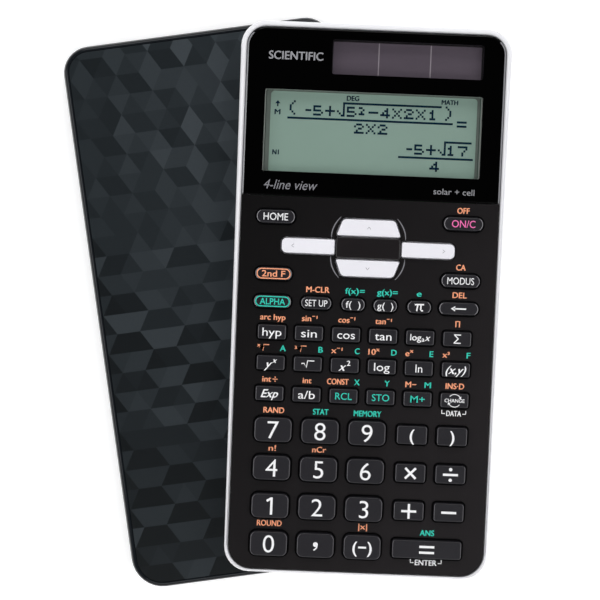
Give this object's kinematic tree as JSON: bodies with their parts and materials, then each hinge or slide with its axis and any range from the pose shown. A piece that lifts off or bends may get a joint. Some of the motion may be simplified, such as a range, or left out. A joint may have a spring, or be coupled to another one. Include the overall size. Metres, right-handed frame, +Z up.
{
  "type": "scientific calculator",
  "caption": "Slim scientific calculator with dot-matrix display, solar cell and sprung keys, lying on its slide-on hard cover.",
  "frame": {"origin": "middle of the whole set's footprint, on the surface it lies on", "axes": "+Y along the calculator towards its display end, +X to the right of its keys, +Z up out of the key face"},
  "size_m": [0.1356, 0.1778, 0.0234],
  "materials": {
    "white_shell": "satin white ABS",
    "black_panel": "fine matt black ABS",
    "black_key": "satin black ABS with printed legends",
    "white_key": "gloss white ABS",
    "window": "clear acrylic, black printed behind",
    "display": "reflective liquid crystal glass",
    "solar": "amorphous silicon behind glass",
    "board": "green solder resist on fibreglass",
    "rubber_mat": "dark silicone rubber",
    "steel": "plated steel",
    "cover": "dark satin face, polished sides"
  },
  "bodies": {
    "housing": {"rear_case": "white_shell", "front_case": "black_panel", "display_window": "window", "lcd_panel": "display", "solar_cell": "solar", "main_board": "board", "key_mat": "rubber_mat", "button_cell": "steel"},
    "key_0": {"key_0": "black_key"},
    "key_1": {"key_1": "black_key"},
    "key_2": {"key_2": "black_key"},
    "key_3": {"key_3": "black_key"},
    "key_4": {"key_4": "black_key"},
    "key_5": {"key_5": "black_key"},
    "key_6": {"key_6": "black_key"},
    "key_7": {"key_7": "black_key"},
    "key_8": {"key_8": "black_key"},
    "key_9": {"key_9": "black_key"},
    "key_alpha": {"key_alpha": "black_key"},
    "key_backspace": {"key_backspace": "black_key"},
    "key_change": {"key_change": "black_key"},
    "key_close": {"key_close": "black_key"},
    "key_cos": {"key_cos": "black_key"},
    "key_cursor_down": {"key_cursor_down": "white_key"},
    "key_cursor_left": {"key_cursor_left": "white_key"},
    "key_cursor_right": {"key_cursor_right": "white_key"},
    "key_cursor_up": {"key_cursor_up": "white_key"},
    "key_divide": {"key_divide": "black_key"},
    "key_equals": {"key_equals": "black_key"},
    "key_exp": {"key_exp": "black_key"},
    "key_f_of": {"key_f_of": "black_key"},
    "key_fraction": {"key_fraction": "black_key"},
    "key_g_of": {"key_g_of": "black_key"},
    "key_home": {"key_home": "black_key"},
    "key_hyp": {"key_hyp": "black_key"},
    "key_ln": {"key_ln": "black_key"},
    "key_log": {"key_log": "black_key"},
    "key_log_base": {"key_log_base": "black_key"},
    "key_memory_plus": {"key_memory_plus": "black_key"},
    "key_minus": {"key_minus": "black_key"},
    "key_mode": {"key_mode": "black_key"},
    "key_on_clear": {"key_on_clear": "black_key"},
    "key_open": {"key_open": "black_key"},
    "key_pair": {"key_pair": "black_key"},
    "key_pi": {"key_pi": "black_key"},
    "key_plus": {"key_plus": "black_key"},
    "key_point": {"key_point": "black_key"},
    "key_power": {"key_power": "black_key"},
    "key_recall": {"key_recall": "black_key"},
    "key_root": {"key_root": "black_key"},
    "key_second": {"key_second": "black_key"},
    "key_setup": {"key_setup": "black_key"},
    "key_sign": {"key_sign": "black_key"},
    "key_sin": {"key_sin": "black_key"},
    "key_square": {"key_square": "black_key"},
    "key_store": {"key_store": "black_key"},
    "key_sum": {"key_sum": "black_key"},
    "key_tan": {"key_tan": "black_key"},
    "key_times": {"key_times": "black_key"},
    "slide_cover": {"slide_cover": "cover"}
  },
  "joints": [
    {"name": "press_0", "type": "slide", "parent": "housing", "child": "key_0", "axis": [0, 0, -1], "range_m": [0, 0.001], "stiffness_N_per_m": 300, "springref_m": -0.0013},
    {"name": "press_1", "type": "slide", "parent": "housing", "child": "key_1", "axis": [0, 0, -1], "range_m": [0, 0.001], "stiffness_N_per_m": 300, "springref_m": -0.0013},
    {"name": "press_2", "type": "slide", "parent": "housing", "child": "key_2", "axis": [0, 0, -1], "range_m": [0, 0.001], "stiffness_N_per_m": 300, "springref_m": -0.0013},
    {"name": "press_3", "type": "slide", "parent": "housing", "child": "key_3", "axis": [0, 0, -1], "range_m": [0, 0.001], "stiffness_N_per_m": 300, "springref_m": -0.0013},
    {"name": "press_4", "type": "slide", "parent": "housing", "child": "key_4", "axis": [0, 0, -1], "range_m": [0, 0.001], "stiffness_N_per_m": 300, "springref_m": -0.0013},
    {"name": "press_5", "type": "slide", "parent": "housing", "child": "key_5", "axis": [0, 0, -1], "range_m": [0, 0.001], "stiffness_N_per_m": 300, "springref_m": -0.0013},
    {"name": "press_6", "type": "slide", "parent": "housing", "child": "key_6", "axis": [0, 0, -1], "range_m": [0, 0.001], "stiffness_N_per_m": 300, "springref_m": -0.0013},
    {"name": "press_7", "type": "slide", "parent": "housing", "child": "key_7", "axis": [0, 0, -1], "range_m": [0, 0.001], "stiffness_N_per_m": 300, "springref_m": -0.0013},
    {"name": "press_8", "type": "slide", "parent": "housing", "child": "key_8", "axis": [0, 0, -1], "range_m": [0, 0.001], "stiffness_N_per_m": 300, "springref_m": -0.0013},
    {"name": "press_9", "type": "slide", "parent": "housing", "child": "key_9", "axis": [0, 0, -1], "range_m": [0, 0.001], "stiffness_N_per_m": 300, "springref_m": -0.0013},
    {"name": "press_alpha", "type": "slide", "parent": "housing", "child": "key_alpha", "axis": [0, 0, -1], "range_m": [0, 0.001], "stiffness_N_per_m": 300, "springref_m": -0.0013},
    {"name": "press_backspace", "type": "slide", "parent": "housing", "child": "key_backspace", "axis": [0, 0, -1], "range_m": [0, 0.001], "stiffness_N_per_m": 300, "springref_m": -0.0013},
    {"name": "press_change", "type": "slide", "parent": "housing", "child": "key_change", "axis": [0, 0, -1], "range_m": [0, 0.001], "stiffness_N_per_m": 300, "springref_m": -0.0013},
    {"name": "press_close", "type": "slide", "parent": "housing", "child": "key_close", "axis": [0, 0, -1], "range_m": [0, 0.001], "stiffness_N_per_m": 300, "springref_m": -0.0013},
    {"name": "press_cos", "type": "slide", "parent": "housing", "child": "key_cos", "axis": [0, 0, -1], "range_m": [0, 0.001], "stiffness_N_per_m": 300, "springref_m": -0.0013},
    {"name": "press_cursor_down", "type": "slide", "parent": "housing", "child": "key_cursor_down", "axis": [0, 0, -1], "range_m": [0, 0.001], "stiffness_N_per_m": 300, "springref_m": -0.0013},
    {"name": "press_cursor_left", "type": "slide", "parent": "housing", "child": "key_cursor_left", "axis": [0, 0, -1], "range_m": [0, 0.001], "stiffness_N_per_m": 300, "springref_m": -0.0013},
    {"name": "press_cursor_right", "type": "slide", "parent": "housing", "child": "key_cursor_right", "axis": [0, 0, -1], "range_m": [0, 0.001], "stiffness_N_per_m": 300, "springref_m": -0.0013},
    {"name": "press_cursor_up", "type": "slide", "parent": "housing", "child": "key_cursor_up", "axis": [0, 0, -1], "range_m": [0, 0.001], "stiffness_N_per_m": 300, "springref_m": -0.0013},
    {"name": "press_divide", "type": "slide", "parent": "housing", "child": "key_divide", "axis": [0, 0, -1], "range_m": [0, 0.001], "stiffness_N_per_m": 300, "springref_m": -0.0013},
    {"name": "press_equals", "type": "slide", "parent": "housing", "child": "key_equals", "axis": [0, 0, -1], "range_m": [0, 0.001], "stiffness_N_per_m": 300, "springref_m": -0.0013},
    {"name": "press_exp", "type": "slide", "parent": "housing", "child": "key_exp", "axis": [0, 0, -1], "range_m": [0, 0.001], "stiffness_N_per_m": 300, "springref_m": -0.0013},
    {"name": "press_f_of", "type": "slide", "parent": "housing", "child": "key_f_of", "axis": [0, 0, -1], "range_m": [0, 0.001], "stiffness_N_per_m": 300, "springref_m": -0.0013},
    {"name": "press_fraction", "type": "slide", "parent": "housing", "child": "key_fraction", "axis": [0, 0, -1], "range_m": [0, 0.001], "stiffness_N_per_m": 300, "springref_m": -0.0013},
    {"name": "press_g_of", "type": "slide", "parent": "housing", "child": "key_g_of", "axis": [0, 0, -1], "range_m": [0, 0.001], "stiffness_N_per_m": 300, "springref_m": -0.0013},
    {"name": "press_home", "type": "slide", "parent": "housing", "child": "key_home", "axis": [0, 0, -1], "range_m": [0, 0.001], "stiffness_N_per_m": 300, "springref_m": -0.0013},
    {"name": "press_hyp", "type": "slide", "parent": "housing", "child": "key_hyp", "axis": [0, 0, -1], "range_m": [0, 0.001], "stiffness_N_per_m": 300, "springref_m": -0.0013},
    {"name": "press_ln", "type": "slide", "parent": "housing", "child": "key_ln", "axis": [0, 0, -1], "range_m": [0, 0.001], "stiffness_N_per_m": 300, "springref_m": -0.0013},
    {"name": "press_log", "type": "slide", "parent": "housing", "child": "key_log", "axis": [0, 0, -1], "range_m": [0, 0.001], "stiffness_N_per_m": 300, "springref_m": -0.0013},
    {"name": "press_log_base", "type": "slide", "parent": "housing", "child": "key_log_base", "axis": [0, 0, -1], "range_m": [0, 0.001], "stiffness_N_per_m": 300, "springref_m": -0.0013},
    {"name": "press_memory_plus", "type": "slide", "parent": "housing", "child": "key_memory_plus", "axis": [0, 0, -1], "range_m": [0, 0.001], "stiffness_N_per_m": 300, "springref_m": -0.0013},
    {"name": "press_minus", "type": "slide", "parent": "housing", "child": "key_minus", "axis": [0, 0, -1], "range_m": [0, 0.001], "stiffness_N_per_m": 300, "springref_m": -0.0013},
    {"name": "press_mode", "type": "slide", "parent": "housing", "child": "key_mode", "axis": [0, 0, -1], "range_m": [0, 0.001], "stiffness_N_per_m": 300, "springref_m": -0.0013},
    {"name": "press_on_clear", "type": "slide", "parent": "housing", "child": "key_on_clear", "axis": [0, 0, -1], "range_m": [0, 0.001], "stiffness_N_per_m": 300, "springref_m": -0.0013},
    {"name": "press_open", "type": "slide", "parent": "housing", "child": "key_open", "axis": [0, 0, -1], "range_m": [0, 0.001], "stiffness_N_per_m": 300, "springref_m": -0.0013},
    {"name": "press_pair", "type": "slide", "parent": "housing", "child": "key_pair", "axis": [0, 0, -1], "range_m": [0, 0.001], "stiffness_N_per_m": 300, "springref_m": -0.0013},
    {"name": "press_pi", "type": "slide", "parent": "housing", "child": "key_pi", "axis": [0, 0, -1], "range_m": [0, 0.001], "stiffness_N_per_m": 300, "springref_m": -0.0013},
    {"name": "press_plus", "type": "slide", "parent": "housing", "child": "key_plus", "axis": [0, 0, -1], "range_m": [0, 0.001], "stiffness_N_per_m": 300, "springref_m": -0.0013},
    {"name": "press_point", "type": "slide", "parent": "housing", "child": "key_point", "axis": [0, 0, -1], "range_m": [0, 0.001], "stiffness_N_per_m": 300, "springref_m": -0.0013},
    {"name": "press_power", "type": "slide", "parent": "housing", "child": "key_power", "axis": [0, 0, -1], "range_m": [0, 0.001], "stiffness_N_per_m": 300, "springref_m": -0.0013},
    {"name": "press_recall", "type": "slide", "parent": "housing", "child": "key_recall", "axis": [0, 0, -1], "range_m": [0, 0.001], "stiffness_N_per_m": 300, "springref_m": -0.0013},
    {"name": "press_root", "type": "slide", "parent": "housing", "child": "key_root", "axis": [0, 0, -1], "range_m": [0, 0.001], "stiffness_N_per_m": 300, "springref_m": -0.0013},
    {"name": "press_second", "type": "slide", "parent": "housing", "child": "key_second", "axis": [0, 0, -1], "range_m": [0, 0.001], "stiffness_N_per_m": 300, "springref_m": -0.0013},
    {"name": "press_setup", "type": "slide", "parent": "housing", "child": "key_setup", "axis": [0, 0, -1], "range_m": [0, 0.001], "stiffness_N_per_m": 300, "springref_m": -0.0013},
    {"name": "press_sign", "type": "slide", "parent": "housing", "child": "key_sign", "axis": [0, 0, -1], "range_m": [0, 0.001], "stiffness_N_per_m": 300, "springref_m": -0.0013},
    {"name": "press_sin", "type": "slide", "parent": "housing", "child": "key_sin", "axis": [0, 0, -1], "range_m": [0, 0.001], "stiffness_N_per_m": 300, "springref_m": -0.0013},
    {"name": "press_square", "type": "slide", "parent": "housing", "child": "key_square", "axis": [0, 0, -1], "range_m": [0, 0.001], "stiffness_N_per_m": 300, "springref_m": -0.0013},
    {"name": "press_store", "type": "slide", "parent": "housing", "child": "key_store", "axis": [0, 0, -1], "range_m": [0, 0.001], "stiffness_N_per_m": 300, "springref_m": -0.0013},
    {"name": "press_sum", "type": "slide", "parent": "housing", "child": "key_sum", "axis": [0, 0, -1], "range_m": [0, 0.001], "stiffness_N_per_m": 300, "springref_m": -0.0013},
    {"name": "press_tan", "type": "slide", "parent": "housing", "child": "key_tan", "axis": [0, 0, -1], "range_m": [0, 0.001], "stiffness_N_per_m": 300, "springref_m": -0.0013},
    {"name": "press_times", "type": "slide", "parent": "housing", "child": "key_times", "axis": [0, 0, -1], "range_m": [0, 0.001], "stiffness_N_per_m": 300, "springref_m": -0.0013},
    {"name": "cover_slide", "type": "slide", "parent": "housing", "child": "slide_cover", "axis": [-0.1728, 0.985, 0], "range_m": [0, 0.17]}
  ]
}
